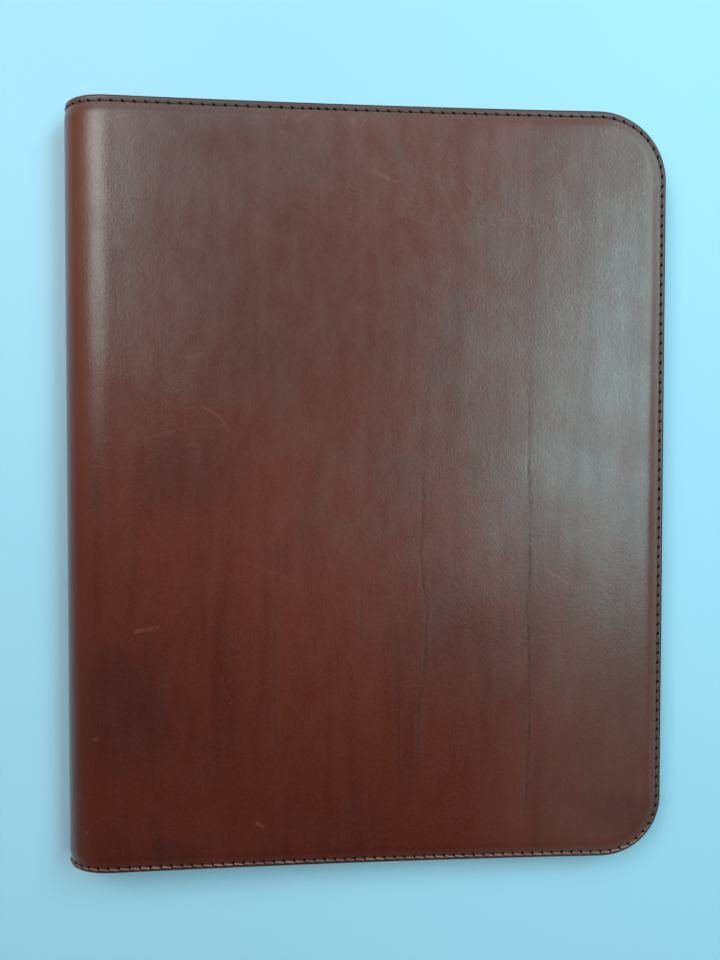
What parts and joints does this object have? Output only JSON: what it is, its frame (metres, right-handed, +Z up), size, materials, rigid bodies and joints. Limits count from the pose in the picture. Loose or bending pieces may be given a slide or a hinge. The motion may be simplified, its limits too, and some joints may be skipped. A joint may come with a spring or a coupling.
{
  "type": "leather notebook cover",
  "caption": "Closed leather notebook cover, stitched round its rim, with a rolled spine that folds open flat, inner pockets, a pen loop and a writing pad that slides out.",
  "frame": {"origin": "on the resting face, under the middle of the closed cover's bounding box", "axes": "+X from the spine towards the fore edge, +Y towards the head, +Z up from the back cover to the front cover"},
  "size_m": [0.25, 0.315, 0.022],
  "materials": {
    "outer_leather": "polished reddish-brown bridle leather, worn",
    "inner_leather": "matt brown lining leather",
    "stiffening_board": "grey board",
    "backing_board": "kraft board",
    "paper": "uncoated writing paper",
    "binding_tape": "cloth binding tape",
    "thread": "waxed thread"
  },
  "bodies": {
    "back_cover": {"outer_leather_back": "outer_leather", "perimeter_thread_back": "thread", "stiffening_board_back": "stiffening_board", "lining_back": "inner_leather", "pad_pocket": "inner_leather", "pad_pocket_thread": "thread", "pen_loop": "inner_leather", "pen_loop_thread": "thread"},
    "spine_back": {"outer_leather_spine_1": "outer_leather", "lining_spine_1": "inner_leather", "perimeter_thread_spine_head_1": "thread", "perimeter_thread_spine_tail_1": "thread"},
    "spine_front": {"outer_leather_spine_2": "outer_leather", "lining_spine_2": "inner_leather", "perimeter_thread_spine_head_2": "thread", "perimeter_thread_spine_tail_2": "thread"},
    "front_cover": {"outer_leather_front": "outer_leather", "perimeter_thread_front": "thread", "stiffening_board_front": "stiffening_board", "lining_front": "inner_leather", "document_pocket": "inner_leather", "document_pocket_thread": "thread", "card_pocket_1": "inner_leather", "card_pocket_2": "inner_leather", "card_pocket_thread_1": "thread", "card_pocket_thread_2": "thread"},
    "writing_pad": {"pad_backing_board": "backing_board", "paper_block": "paper", "pad_binding": "binding_tape"}
  },
  "joints": [
    {"name": "spine_bend_back", "type": "hinge", "parent": "back_cover", "child": "spine_back", "pos_m": [-0.1196, 0, 0.00153], "axis": [0, -1, 0], "range_deg": [0, 60.6]},
    {"name": "spine_bend_middle", "type": "hinge", "parent": "spine_back", "child": "spine_front", "pos_m": [-0.12499, 0, 0.01134], "axis": [0, -1, 0], "range_deg": [0, 60.6]},
    {"name": "spine_bend_front", "type": "hinge", "parent": "spine_front", "child": "front_cover", "pos_m": [-0.119, 0, 0.0208], "axis": [0, -1, 0], "range_deg": [0, 60.6]},
    {"name": "pad_slide", "type": "slide", "parent": "back_cover", "child": "writing_pad", "axis": [0, 1, 0], "range_m": [0, 0.3]}
  ],
  "couplings": [
    {"joint": "spine_bend_middle", "follows": "spine_bend_back", "ratio": 1},
    {"joint": "spine_bend_front", "follows": "spine_bend_back", "ratio": 1}
  ]
}
